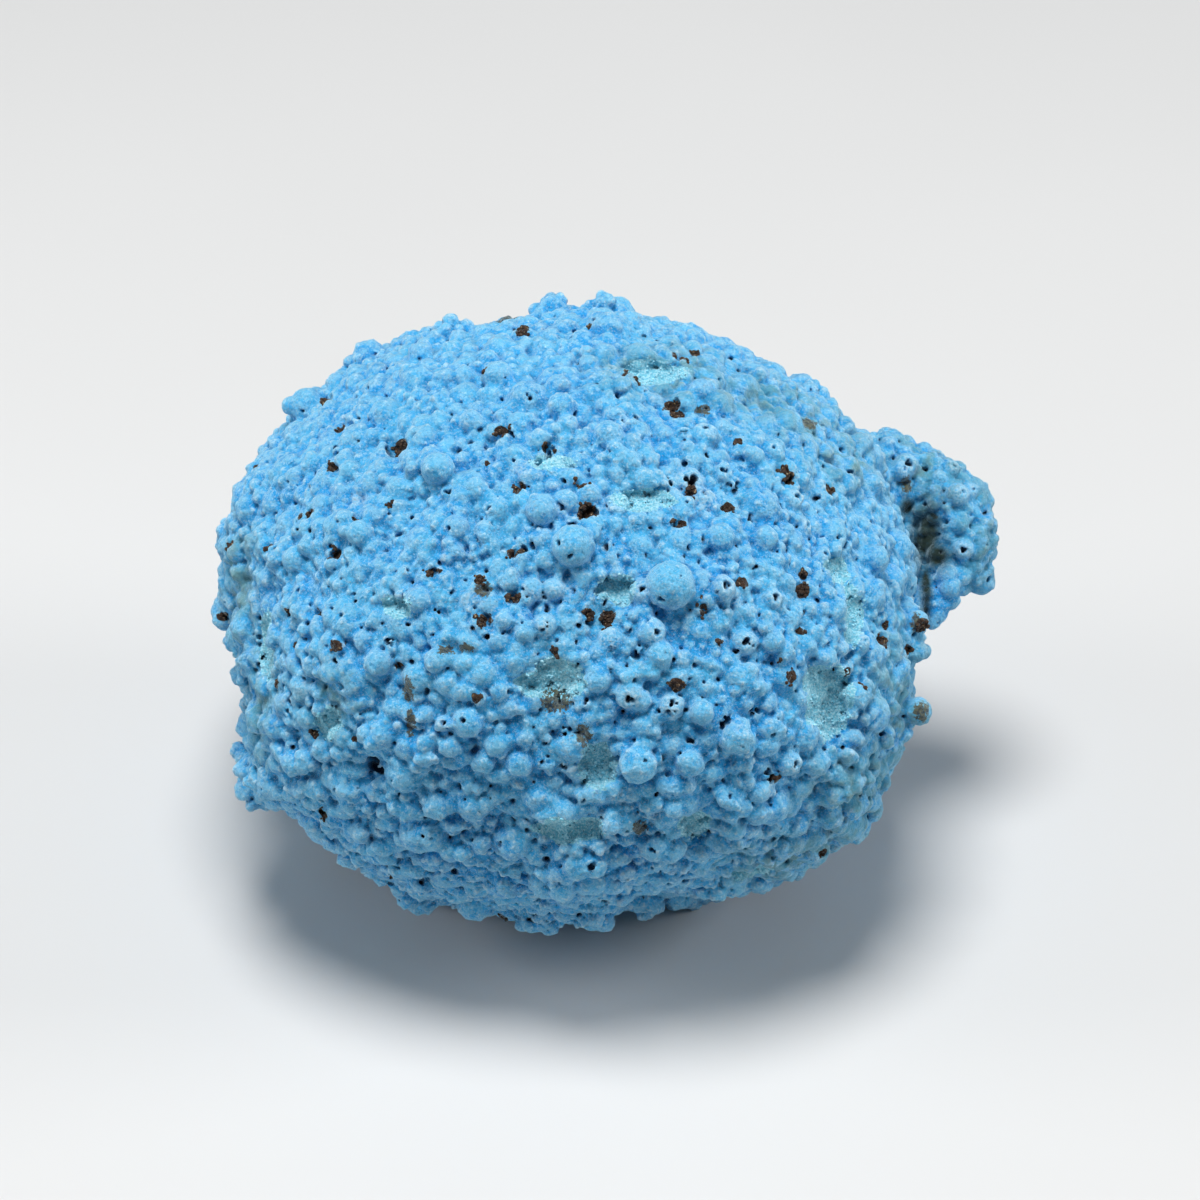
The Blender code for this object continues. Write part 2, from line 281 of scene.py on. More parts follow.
def solid_in_mm():
    """A merged copy of the solid, in millimetres."""
    bm = bmesh.new()
    bm.from_mesh(frame["nodes"][NODE].data)
    bmesh.ops.remove_doubles(bm, verts=bm.verts, dist=1e-7)
    bmesh.ops.scale(bm, verts=bm.verts, vec=(1 / MM,) * 3)
    mesh = bpy.data.meshes.new("ground")
    bm.to_mesh(mesh)
    bm.free()
    return linked("ground", mesh)


def evaluated(obj):
    """The plain mesh that an object's modifiers give."""
    graph = bpy.context.evaluated_depsgraph_get()
    return bpy.data.meshes.new_from_object(obj.evaluated_get(graph))


class Tree:
    """A Geometry Nodes tree under construction, with named inputs."""

    def __init__(self, name):
        self.tree = bpy.data.node_groups.new(name, "GeometryNodeTree")
        self.tree.interface.new_socket("Geometry", in_out="INPUT", socket_type="NodeSocketGeometry")
        self.tree.interface.new_socket("Geometry", in_out="OUTPUT", socket_type="NodeSocketGeometry")
        self.start = self.tree.nodes.new("NodeGroupInput")
        self.end = self.tree.nodes.new("NodeGroupOutput")

    def asks(self, name, kind="Float"):
        """A named input of the tree."""
        self.tree.interface.new_socket(name, in_out="INPUT", socket_type="NodeSocket" + kind)
        return self.start.outputs[name]

    def link(self, value, socket):
        self.tree.links.new(value, socket)

    def add(self, kind, sockets=None, **settings):
        """A node, with its inputs linked or set."""
        node = self.tree.nodes.new("GeometryNode" + kind)
        return self.fill(node, sockets, settings)

    def field(self, kind, sockets=None, **settings):
        """A shader or function node, with its inputs linked or set."""
        node = self.tree.nodes.new(kind)
        return self.fill(node, sockets, settings)

    def fill(self, node, sockets, settings):
        for name, value in settings.items():
            setattr(node, name, value)
        for name, value in (sockets or {}).items():
            if isinstance(value, bpy.types.NodeSocket):
                self.link(value, node.inputs[name])
            else:
                node.inputs[name].default_value = value
        return node

    def attribute(self, name, kind="FLOAT"):
        node = self.add("InputNamedAttribute", {"Name": name}, data_type=kind)
        return next(socket for socket in node.outputs if socket.enabled)

    def math(self, operation, first, second=0.0):
        return self.field("ShaderNodeMath", {0: first, 1: second}, operation=operation).outputs[0]

    def vector(self, operation, first, second=None, scale=None):
        sockets = {0: first}
        if second is not None:
            sockets[1] = second
        if scale is not None:
            sockets["Scale"] = scale
        node = self.field("ShaderNodeVectorMath", sockets, operation=operation)
        return next(socket for socket in node.outputs if socket.enabled)

    def position(self):
        return self.add("InputPosition").outputs[0]

    def normal(self):
        return self.add("InputNormal").outputs[0]

    def blurred(self, value, rounds):
        node = self.add("BlurAttribute", data_type="FLOAT_VECTOR")
        node.inputs["Iterations"].default_value = rounds
        self.link(value, next(socket for socket in node.inputs if socket.enabled and socket.type == "VECTOR"))
        return next(socket for socket in node.outputs if socket.enabled)

    def stored(self, geometry, name, value):
        """Keeps a number on every point of a geometry."""
        node = self.add("StoreNamedAttribute", data_type="FLOAT", domain="POINT")
        self.link(geometry, node.inputs["Geometry"])
        node.inputs["Name"].default_value = name
        self.link(value, next(s for s in node.inputs if s.enabled and s.name == "Value"))
        return node.outputs[0]

    def rise(self, rounds):
        """How far each point stands over its blurred surroundings."""
        gap = self.vector("SUBTRACT", self.position(), self.blurred(self.position(), rounds))
        return self.vector("DOT_PRODUCT", gap, self.normal())

    def biggest(self, geometry):
        """The geometry without its small loose islands."""
        island = self.add("InputMeshIsland").outputs["Island Index"]
        count = self.add("AccumulateField", {"Group ID": island}, data_type="INT", domain="POINT")
        count.inputs["Value"].default_value = 1
        total = count.outputs["Total"]
        most = self.add("AttributeStatistic", data_type="FLOAT", domain="POINT")
        self.link(geometry, most.inputs["Geometry"])
        self.link(total, next(s for s in most.inputs if s.enabled and s.name == "Attribute"))
        small = self.field("FunctionNodeCompare", {0: total, 1: most.outputs["Max"]}, operation="LESS_THAN")
        return self.add("DeleteGeometry", {"Geometry": geometry, "Selection": small.outputs[0]}).outputs[0]

    def gives(self, geometry):
        self.link(geometry, self.end.inputs["Geometry"])

    def run(self, obj, **values):
        """Runs the tree on an object, which keeps the plain mesh that comes out."""
        modifier = obj.modifiers.new(self.tree.name, "NODES")
        modifier.node_group = self.tree
        for item in self.tree.interface.items_tree:
            key = item.name.lower()
            if item.in_out == "INPUT" and key in values:
                modifier[item.identifier] = values[key]
        obj.data = evaluated(obj)
        obj.modifiers.clear()
        return obj


def field_of(tree, mesh, grain):
    """The signed distance to a closed mesh."""
    sockets = {"Mesh": mesh, "Voxel Size": grain, "Band Width": 4}
    return tree.add("MeshToSDFGrid", sockets).outputs[0]


def balls_of(tree, source, grain):
    """The signed distance to the spheres on an object's points."""
    info = tree.add("ObjectInfo", {"Object": source})
    cloud = tree.add("MeshToPoints", {"Mesh": info.outputs["Geometry"]}).outputs[0]
    sockets = {"Points": cloud, "Radius": tree.attribute("size"), "Voxel Size": grain}
    return tree.add("PointsToSDFGrid", sockets).outputs[0]


def skin_of(tree, grid, offset=0.0):
    return tree.add("GridToMesh", {"Grid": grid, "Threshold": offset}).outputs[0]


def ground_tree():
    """Rounds the solid's facets and moves its skin in, and stores how recessed each place is."""
    tree = Tree("rounded ground")
    grain = tree.asks("Grain")
    inset = tree.asks("Inset")
    skin = skin_of(tree, field_of(tree, tree.start.outputs["Geometry"], grain))
    inwards = tree.vector("SCALE", tree.normal(), scale=inset)
    moved = tree.vector("SUBTRACT", tree.blurred(tree.position(), 6), inwards)
    placed = tree.add("SetPosition", {"Geometry": skin, "Position": moved}).outputs[0]
    tree.gives(tree.stored(placed, "rise", tree.rise(90)))
    return tree


def crust_tree():
    """Cuts the hollows into the ground and fuses the spherules with it."""
    tree = Tree("fused crust")
    grain = tree.asks("Grain")
    spherules = tree.asks("Spherules", "Object")
    cutters = tree.asks("Cutters", "Object")
    whole = field_of(tree, tree.start.outputs["Geometry"], grain)
    cut = tree.add("SDFGridBoolean", {"Grid 1": whole}, operation="DIFFERENCE")
    tree.link(balls_of(tree, cutters, grain), cut.inputs["Grid 2"])
    both = tree.add("SDFGridBoolean", operation="UNION")
    tree.link(cut.outputs[0], both.inputs["Grid 2"])
    tree.link(balls_of(tree, spherules, grain), both.inputs["Grid 2"])
    whole = tree.biggest(skin_of(tree, both.outputs[0]))
    tree.gives(tree.stored(whole, "rise", tree.rise(12)))
    return tree


def bored_tree():
    """Bores the pores, adds the bumps, and stores the measures that the material reads."""
    tree = Tree("bored crust")
    grain = tree.asks("Grain")
    bumps = tree.asks("Bumps", "Object")
    pores = tree.asks("Pores", "Object")
    spherules = tree.asks("Spherules", "Object")
    rough = tree.asks("Rough")
    lumps = tree.asks("Lumps")
    before = tree.start.outputs["Geometry"]
    raised = tree.add("SDFGridBoolean", operation="UNION")
    tree.link(field_of(tree, before, grain), raised.inputs["Grid 2"])
    tree.link(balls_of(tree, bumps, grain), raised.inputs["Grid 2"])
    bored = tree.add("SDFGridBoolean", {"Grid 1": raised.outputs[0]}, operation="DIFFERENCE")
    tree.link(balls_of(tree, pores, grain), bored.inputs["Grid 2"])
    skin = tree.biggest(skin_of(tree, bored.outputs[0]))
    unbored = skin_of(tree, raised.outputs[0])
    near = tree.add("Proximity", {"Geometry": unbored}, target_element="FACES")
    skin = tree.stored(skin, "bored", near.outputs["Distance"])
    waves = tree.field("ShaderNodeTexNoise", {"Scale": 1 / ROUGH_SIZE, "Detail": 2.0})
    swell = tree.math("MULTIPLY", tree.math("SUBTRACT", waves.outputs[0], 0.5), rough)
    wander = tree.vector("SCALE", waves.outputs["Color"], scale=0.5)
    spots = tree.vector("ADD", tree.position(), wander)
    cells = tree.field("ShaderNodeTexVoronoi", {"Vector": spots, "Scale": 1 / LUMP_SIZE})
    domes = tree.math("SUBTRACT", 0.45, cells.outputs["Distance"])
    where = tree.field("ShaderNodeTexNoise", {"Scale": 1 / PATCH, "Detail": 1.0})
    share = tree.field("ShaderNodeMapRange", {"Value": where.outputs[0], "From Min": 0.38, "From Max": 0.62})
    share.inputs["To Min"].default_value = 0.25
    lumpy = tree.math("MULTIPLY", tree.math("MULTIPLY", domes, lumps), share.outputs[0])
    height = tree.field("ShaderNodeSeparateXYZ", {"Vector": tree.position()})
    calm = tree.field("ShaderNodeMapRange", {"Value": height.outputs["Z"], "From Min": 10.0, "From Max": 24.0})
    calm.inputs["To Min"].default_value = 1.0
    calm.inputs["To Max"].default_value = HIGH_SMOOTH
    knob = tree.field("ShaderNodeMapRange", {"Value": height.outputs["X"], "From Min": 12.5, "From Max": 15.0})
    knob.inputs["To Min"].default_value = 1.0
    knob.inputs["To Max"].default_value = KNOB_SMOOTH
    even = tree.math("MULTIPLY", calm.outputs[0], knob.outputs[0])
    swell = tree.math("MULTIPLY", tree.math("ADD", swell, lumpy), even)
    shift = tree.vector("SCALE", tree.normal(), scale=swell)
    skin = tree.add("SetPosition", {"Geometry": skin, "Offset": shift}).outputs[0]
    skin = tree.stored(skin, "fine", tree.rise(4))
    skin = tree.stored(skin, "rise", tree.rise(20))
    centres = tree.add("ObjectInfo", {"Object": spherules}).outputs["Geometry"]
    nearest = tree.add("SampleNearest", {"Geometry": centres}, domain="POINT").outputs[0]
    tone = tree.add("SampleIndex", {"Geometry": centres, "Index": nearest}, data_type="FLOAT", domain="POINT")
    tree.link(tree.attribute("tone"), next(s for s in tone.inputs if s.enabled and s.name == "Value"))
    tree.gives(tree.stored(skin, "tone", next(s for s in tone.outputs if s.enabled)))
    return tree


def points_object(name, rows):
    """Loose points, each with a radius and a tone."""
    mesh = bpy.data.meshes.new(name)
    mesh.from_pydata([row[0] for row in rows], [], [])
    for k, attribute in ((1, "size"), (2, "tone")):
        layer = mesh.attributes.new(attribute, "FLOAT", "POINT")
        layer.data.foreach_set("value", [row[k] for row in rows])
    return linked(name, mesh)


class Skin:
    """A mesh to shoot rays at and to scatter points over."""

    def __init__(self, obj):
        mesh = obj.data
        mesh.calc_loop_triangles()
        self.points = floats(mesh.vertices, "co", 3)
        self.normals = floats(mesh.vertex_normals, "vector", 3)
        self.faces = np.empty(len(mesh.loop_triangles) * 3, np.int32)
        mesh.loop_triangles.foreach_get("vertices", self.faces)
        self.faces = self.faces.reshape(-1, 3)
        areas = np.empty(len(self.faces), np.float32)
        mesh.loop_triangles.foreach_get("area", areas)
        self.shares = np.cumsum(areas, dtype=float)
        self.shares /= self.shares[-1]
        self.rise = floats(mesh.attributes["rise"].data, "value", 1)[:, 0]
        self.bvh = BVHTree.FromPolygons(self.points.tolist(), self.faces.tolist())

    def seen(self, x, y):
        """The place and the normal that the camera sees at a pixel, or the nearest inside the edge."""
        for step in range(20):
            nudge = step * 0.006
            near_x = x + (CENTRE_PIXEL[0] - x) * nudge
            near_y = y + (CENTRE_PIXEL[1] - y) * nudge
            hit, normal, _, _ = self.bvh.ray_cast(*at_pixel(near_x, near_y))
            if hit:
                return hit, normal

    def scatter(self, rng, count):
        """Random places, even over the surface, with their normals and their rise."""
        picks = self.faces[np.searchsorted(self.shares, rng.random(count))]
        weights = rng.dirichlet((1, 1, 1), count)
        places = np.einsum("nk,nkd->nd", weights, self.points[picks])
        normals = np.einsum("nk,nkd->nd", weights, self.normals[picks])
        normals /= np.linalg.norm(normals, axis=1)[:, None]
        return places, normals, np.einsum("nk,nk->n", weights, self.rise[picks])


def floats(collection, name, width):
    values = np.empty(len(collection) * width, np.float32)
    collection.foreach_get(name, values)
    return values.reshape(-1, width)


class Crowd:
    """Keeps balls apart: a grid of cells that remembers where each one stands."""

    def __init__(self, cell):
        self.cell = cell
        self.cells = {}

    def key(self, place):
        return tuple(int(math.floor(c / self.cell)) for c in place)

    def free(self, place, radius, share):
        """Says whether a ball keeps its distance from all that stand already."""
        i, j, k = self.key(place)
        for a in (i - 1, i, i + 1):
            for b in (j - 1, j, j + 1):
                for c in (k - 1, k, k + 1):
                    for x, y, z, other in self.cells.get((a, b, c), ()):
                        gap = (x - place[0]) ** 2 + (y - place[1]) ** 2 + (z - place[2]) ** 2
                        if gap < (share * (radius + other)) ** 2:
                            return False
        return True

    def add(self, place, radius):
        self.cells.setdefault(self.key(place), []).append((*place, radius))


def hollow_frames(ground, rng):
    """Each hollow's middle, its two directions and its half widths."""
    frames = []
    for x, y, wide, tall in HOLLOWS:
        middle, _ = ground.seen(x, y)
        frames.append((middle, RIGHT, UP, wide * PIXEL, tall * PIXEL))
    places, normals, rises = ground.scatter(rng, 4000)
    deep = np.argsort(rises)
    crowd = Crowd(6.0)
    for k in deep:
        place = Vector(places[k].tolist())
        hidden = (place - CENTRE).dot(NEAR) < 2 and place.z > 2 and place.x < KNOB_START
        if hidden and crowd.free(place, 2.6, 1.0):
            crowd.add(place, 2.6)
            normal = Vector(normals[k].tolist())
            across = normal.orthogonal().normalized()
            size = rng.uniform(0.7, 1.7)
            frames.append((place, across, normal.cross(across), size, size * rng.uniform(0.6, 1.4)))
        if len(frames) >= len(HOLLOWS) + HIDDEN_HOLLOWS:
            break
    return [part for oval in frames for part in ragged(oval, rng)]


def ragged(oval, rng):
    """An oval becomes several smaller ones that overlap, for an uneven outline."""
    middle, across, up, wide, tall = oval
    turn = rng.uniform(0, math.tau)
    parts = []
    for _ in range(5):
        turn += rng.uniform(0.9, 1.6)
        away = rng.uniform(0.35, 0.6)
        spot = middle + across * wide * away * math.cos(turn) + up * tall * away * math.sin(turn)
        share = rng.uniform(0.38, 0.62)
        parts.append((spot, across, up, wide * share, tall * share * rng.uniform(0.8, 1.2)))
    return parts


def oval_frames(skin, ovals):
    """The middle, directions and half widths of ovals that are given in pixels."""
    frames = []
    for x, y, wide, *tall in ovals:
        middle, _ = skin.seen(x, y)
        frames.append((middle, RIGHT, UP, wide * PIXEL, (tall[0] if tall else wide) * PIXEL))
    return frames


def clusters(skin, spots, rng):
    """Each round spot becomes a few small ovals side by side, for an angular outline."""
    frames = []
    for middle, across, up, size, _ in spots:
        turn = rng.uniform(0, math.tau)
        for k in range(int(rng.integers(2, 5))):
            turn += rng.uniform(1.5, 3.0)
            away = size * rng.uniform(0.1, 0.4)
            spot = middle + across * away * math.cos(turn) + up * away * math.sin(turn)
            place, normal, _, _ = skin.bvh.find_nearest(spot)
            sideways = across - normal * across.dot(normal)
            sideways.normalize()
            along = normal.cross(sideways)
            tilt = rng.uniform(0, math.tau)
            long_way = sideways * math.cos(tilt) + along * math.sin(tilt)
            wide = size * rng.uniform(0.75, 1.05)
            frames.append((place, long_way, normal.cross(long_way), wide, wide * rng.uniform(0.6, 0.9)))
    return frames


def hidden_ovals(skin, count, small, large, rng):
    """Ovals of the same kind on the sides that the photograph hides."""
    frames = []
    places, normals, _ = skin.scatter(rng, count * 8)
    for place, normal in zip(places.tolist(), normals.tolist()):
        place, normal = Vector(place), Vector(normal)
        unseen = (place - CENTRE).dot(NEAR) < -1 and normal.dot(NEAR) < -0.1
        if unseen and place.z > 1.5 and len(frames) < count:
            across = normal.orthogonal().normalized()
            size = rng.uniform(small, large)
            frames.append((place, across, normal.cross(across), size, size * rng.uniform(0.6, 1.5)))
    return frames


def covered(points, order, frames, depth, soft):
    """How far each point lies inside any of the ovals, from 0 outside to 1."""
    inside = np.zeros(len(points), np.float32)
    across_all = points[order, 0]
    for middle, across, up, wide, tall in frames:
        reach = max(wide, tall, depth) * 1.5
        first, last = np.searchsorted(across_all, (middle.x - reach, middle.x + reach))
        near = order[first:last]
        away = points[near] - np.array(middle, np.float32)
        u = away @ np.array(across, np.float32) / wide
        v = away @ np.array(up, np.float32) / tall
        w = away @ np.array(across.cross(up), np.float32) / depth
        reach = 1 - (np.sqrt(u * u + v * v + w * w) - 1 + soft) / (2 * soft)
        inside[near] = np.maximum(inside[near], np.clip(reach, 0, 1))
    return inside


def marked(crust, hollows, specks, stains, rings, tints, shades):
    """Keeps on each point whether it lies in a hollow, a limonite speck or a stain."""
    points = floats(crust.data.vertices, "co", 3)
    order = np.argsort(points[:, 0])
    for name, frames, depth, soft in (
        ("hollow", hollows, 1.6, 0.22),
        ("speck", specks, 0.8, 0.25),
        ("stain", stains, 1.2, 0.35),
        ("ring", rings, 0.6, 0.3),
        ("tint", tints, 6.0, 0.6),
        ("shade", shades, 4.0, 0.5),
    ):
        layer = crust.data.attributes.new(name, "FLOAT", "POINT")
        layer.data.foreach_set("value", covered(points, order, frames, depth, soft))


def grains_tree():
    """Scatters small angular grains where a mask says so."""
    tree = Tree("grains")
    mask = tree.asks("Mask", "String")
    density = tree.asks("Density")
    small = tree.asks("Small")
    large = tree.asks("Large")
    seed = tree.asks("Seed", "Int")
    paint = tree.asks("Paint", "Material")
    named = tree.add("InputNamedAttribute", {"Name": mask}, data_type="FLOAT")
    share = next(socket for socket in named.outputs if socket.enabled)
    full = tree.math("MULTIPLY", tree.math("GREATER_THAN", share, 0.5), density)
    sockets = {"Mesh": tree.start.outputs["Geometry"], "Density": full, "Seed": seed}
    points = tree.add("DistributePointsOnFaces", sockets)
    grain = tree.add("MeshIcoSphere", {"Radius": 1.0, "Subdivisions": 1})

    def between(low, high, shift):
        node = tree.field("FunctionNodeRandomValue", data_type="FLOAT")
        tree.link(low, node.inputs[2]) if isinstance(low, bpy.types.NodeSocket) else None
        tree.link(high, node.inputs[3]) if isinstance(high, bpy.types.NodeSocket) else None
        node.inputs["Seed"].default_value = shift
        return next(socket for socket in node.outputs if socket.enabled)

    size = between(small, large, 3)
    shape = tree.field("FunctionNodeRandomValue", data_type="FLOAT_VECTOR")
    shape.inputs[0].default_value = (0.6, 0.6, 0.6)
    shape.inputs[1].default_value = (1.3, 1.3, 1.3)
    turn = tree.field("FunctionNodeRandomValue", data_type="FLOAT_VECTOR")
    turn.inputs[1].default_value = (6.3, 6.3, 6.3)
    copies = tree.add(
        "InstanceOnPoints",
        {
            "Points": points.outputs["Points"],
            "Instance": grain.outputs["Mesh"],
            "Rotation": turn.outputs[0],
            "Scale": tree.vector("SCALE", shape.outputs[0], scale=size),
        },
    )
    real = tree.add("RealizeInstances", {"Geometry": copies.outputs[0]}).outputs[0]
    tree.gives(tree.add("SetMaterial", {"Geometry": real, "Material": paint}).outputs[0])
    return tree


def grains(crust, name, mask, measures, paint, seed):
    """A piece of loose-looking grains that sit in the crust."""
    density, small, large = measures
    obj = linked(name, crust.data.copy())
    values = dict(mask=mask, density=density, small=small, large=large, seed=seed, paint=paint)
    grains_tree().run(obj, **values)
    obj.data.transform(Matrix.Scale(MM, 4))
    obj.data.shade_flat()
    return obj


def spherule_rows(ground, hollows, rng):
    """Every spherule of the crust: place, radius and tone, with a note of those with a hole."""
    rows = []
    crowd = Crowd(2.0)
    holes = []
    for x, y, radius in BALLS:
        hit, normal = ground.seen(x, y)
        size = radius * PIXEL
        place = hit + normal * size * 0.35
        rows.append((place, size, rng.uniform(0.55, 1.0)))
        crowd.add(place, size)
    root, _ = ground.seen(*LOBE_ROOT)
    for x, y, radius in LOBE:
        eye, ray = at_pixel(x, y)
        place = eye + ray * ((root - eye).length + 0.3)
        rows.append((place, radius * PIXEL, 0.6))
        crowd.add(place, radius * PIXEL)
    for x, y, radius, hole in CRATERS:
        hit, normal = ground.seen(x, y)
        size = radius * PIXEL
        place = hit + normal * size * 0.25
        rows.append((place, size, rng.uniform(0.6, 1.0)))
        holes.append((place + normal * size, normal, hole * PIXEL))
        crowd.add(place, size)
    for tries, small, large, share, low, high in LUMP_SIZES:
        places, normals, rises = ground.scatter(rng, tries)
        sizes = small + (large - small) * rng.random(tries) ** 1.5
        lifts = low + (high - low) * rng.random(tries)
        chances = rng.random(tries)
        tones = rng.random(tries)
        open_share = covered(places, np.argsort(places[:, 0]), hollows, 2.5, 0.25)
        for k in np.flatnonzero(open_share < 0.2 + 0.5 * chances).tolist():
            place = Vector(places[k].tolist())
            normal = Vector(normals[k].tolist())
            size = float(sizes[k])
            low_down = min(max((1 - (place - CENTRE).dot(UP)) / 11, 0), 1)
            patch = PATCH_RISE * noise.noise(place / PATCH) * 2
            size *= 1 + LOW_GROWTH * low_down
            kind = 0 if size > FILLER else 1
            smooth = KNOB_SUNK if place.x > KNOB_START else 0.0
            high_up = min(max((place - CENTRE).dot(UP) / 11, 0), 1)
            region = CALM[kind] + (RUGGED[kind] - CALM[kind]) * low_down
            region += (HIGH[kind] - CALM[kind]) * high_up
            lift = float(lifts[k]) + patch + region - smooth
            place += normal * size * lift
            if place.z < 0.15:
                continue
            size = min(size, place.z)
            if not crowd.free(place, size, share):
                continue
            crowd.add(place, size)
            rows.append((place, size, float(tones[k])))
            if size > FILLER:
                rows.extend(offshoots(place, normal, size, float(tones[k]), low_down, rng))
            holed = 0.09 if place.dot(RIGHT) > -3 and (place - CENTRE).dot(NEAR) > 0 else 0.03
            if small > 0.3 and chances[k] < holed and lifts[k] > 0:
                top = place + normal * size
                holes.append((top, normal, size * rng.uniform(0.2, 0.34)))
    return rows, holes


def offshoots(place, normal, size, tone, low_down, rng):
    """Smaller spherules that a larger one grew at its sides, mostly the level ones low down."""
    across = normal.cross(UP + NEAR * 0.1).normalized()
    turn = rng.uniform(0, math.tau)
    rows = []
    for _ in range(int(rng.integers(1, 6))):
        turn += rng.uniform(0.8, 2.2)
        level = across * math.cos(turn) * (1 + LEVEL * low_down)
        side = level + normal.cross(across) * math.sin(turn) * (1 - LEVEL * low_down)
        spot = place + side * size * rng.uniform(0.5, 0.85) + normal * size * rng.uniform(-0.1, 0.45)
        radius = min(size * rng.uniform(0.34, 0.7) * (1 + 0.2 * low_down), spot.z)
        if radius > 0.1:
            rows.append((spot, radius, tone))
    return rows


def cutter_rows(ground, hollows, rng):
    """Balls that cut the hollows a little into the ground, each with its own ragged edge."""
    rows = []
    for middle, across, up, wide, tall in hollows:
        count = int(14 * wide * tall / HOLLOW_BALL ** 2) + 6
        for _ in range(count):
            turn = rng.uniform(0, math.tau)
            reach = math.sqrt(rng.random()) * rng.uniform(0.75, 1.0)
            spot = middle + across * wide * reach * math.cos(turn) + up * tall * reach * math.sin(turn)
            spot += up * HOLLOW_BALL * 0.5
            place, normal, _, _ = ground.bvh.find_nearest(spot)
            radius = HOLLOW_BALL * rng.uniform(0.7, 1.2)
            rows.append((place + normal * (radius - HOLLOW_DEPTH * (1.1 - reach * 0.6)), radius, 0.0))
    return rows


def bump_rows(skin, rng):
    """Small bumps that ride on the spherules' tops and flanks."""
    places, normals, rises = skin.scatter(rng, BUMPS)
    rows = []
    for place, normal, rise in zip(places, normals, rises):
        size = 0.15 + 0.13 * rng.random() ** 2
        middle = place + normal * size * rng.uniform(-0.85, -0.4)
        if rise > -0.02 and middle[2] > size:
            rows.append((middle.tolist(), size, 0.5))
    return rows


def pore_rows(skin, holes, specks, rng):
    """Pores in the creases, holes in the ring spherules, and the named cavities."""
    rows = []

    def bore(mouth, inwards, radius, depth, sideways=Vector()):
        steps = max(2, int(depth / (radius * 0.6)))
        for k in range(steps):
            share = k / (steps - 1)
            wobble = sideways * math.sin(share * 3) * radius
            rows.append((mouth + inwards * depth * share + wobble, radius * (1 - 0.35 * share), 0.0))

    for mouth, normal, radius in holes:
        across = normal.orthogonal().normalized()
        turn = rng.uniform(0, math.tau)
        for _ in range(3):
            turn += rng.uniform(1.4, 2.6)
            side = across * math.cos(turn) + normal.cross(across) * math.sin(turn)
            part = radius * rng.uniform(0.3, 0.6)
            bore(mouth - normal * radius * 0.2 + side * radius * 0.5, -normal, part, radius * 1.8)
    for x, y, radius in CAVITIES:
        mouth, normal = skin.seen(x, y)
        size = radius * PIXEL
        across = normal.orthogonal().normalized()
        for _ in range(4 + radius):
            turn = rng.uniform(0, math.tau)
            side = across * math.cos(turn) + normal.cross(across) * math.sin(turn)
            spot = mouth + side * size * rng.uniform(0.1, 0.9) - normal * rng.uniform(0.0, 0.5)
            rows.append((spot, size * rng.uniform(0.25, 0.5), 0.0))
    for middle, across, up, wide, tall in specks:
        outwards = across.cross(up)
        for share in (-0.4, 0.4):
            rows.append((middle + across * wide * share + outwards * tall * 0.6, tall, 0.0))
    places, normals, rises = skin.scatter(rng, 26000)
    crowd = Crowd(1.0)
    made = 0
    for k in np.argsort(rises + 0.05 * rng.standard_normal(len(rises))):
        place = Vector(places[k].tolist())
        if place.z < 0.6 or not crowd.free(place, 0.34, 1.0):
            continue
        crowd.add(place, 0.34)
        normal = Vector(normals[k].tolist())
        radius = 0.075 + 0.075 * rng.random() ** 2
        across = normal.orthogonal().normalized()
        bore(place, -normal, radius, 0.5)
        if rng.random() < 0.5:
            turn = rng.uniform(0, math.tau)
            along = across * math.cos(turn) + normal.cross(across) * math.sin(turn)
            bore(place + along * radius * 1.5, -normal, radius * 0.8, 0.35)
        made += 1
        if made == PORES:
            break
    return rows


def nodule():
    rng = np.random.default_rng(SEED)
    ground = ground_tree().run(solid_in_mm(), grain=0.3, inset=INSET)
    clock("ground")
    under = Skin(ground)
    hollows = hollow_frames(under, rng)
    rows, holes = spherule_rows(under, hollows, rng)
    spherules = points_object("spherules", rows)
    clock("spherule rows")
    print("spherules", len(rows), "holes", len(holes))
    crust = linked("crust", ground.data.copy())
    cutters = points_object("cutters", cutter_rows(under, hollows, rng))
    crust_tree().run(crust, grain=GRAIN, spherules=spherules, cutters=cutters)
    print("crust", len(crust.data.polygons))
    clock("crust tree")
    skin = Skin(crust)
    clock("skin")
    bumps = points_object("bumps", bump_rows(skin, rng))
    specks = oval_frames(skin, SPECKS) + hidden_ovals(skin, HIDDEN_SPECKS, 0.2, 0.45, rng)
    specks = clusters(skin, specks, rng)
    stains = oval_frames(skin, STAINS) + hidden_ovals(skin, HIDDEN_STAINS, 0.4, 1.0, rng)
    pores = points_object("pores", pore_rows(skin, holes, specks, rng))
    clock("pore rows")
    sources = dict(bumps=bumps, pores=pores, spherules=spherules)
    bored_tree().run(crust, grain=GRAIN, rough=ROUGH_HEIGHT, lumps=LUMP_HEIGHT, **sources)
    print("bored", len(crust.data.polygons))
    clock("bored tree")
    thinner = crust.modifiers.new("thinner", "DECIMATE")
    thinner.ratio = SKIN_TRIANGLES / 2 / len(crust.data.polygons)
    crust.data = evaluated(crust)
    crust.modifiers.clear()
    clock("decimated")
    rings = []
    for mouth, normal, radius in holes:
        across = normal.orthogonal().normalized()
        rings.append((mouth, across, normal.cross(across), radius * 2.6, radius * 2.6))
    rings += oval_frames(skin, FUZZ)
    tints = oval_frames(skin, TINTS)
    shades = oval_frames(skin, SHADES)
    marked(crust, hollows, specks, stains, rings, tints, shades)
    return crust


def single(faces, count):
    """The faces without the pairs that lie back to back on the same three points."""
    ends = np.sort(faces, axis=1).astype(np.int64)
    codes = (ends[:, 0] * count + ends[:, 1]) * count + ends[:, 2]
    _, where, times = np.unique(codes, return_inverse=True, return_counts=True)
    return faces[times[where] == 1]


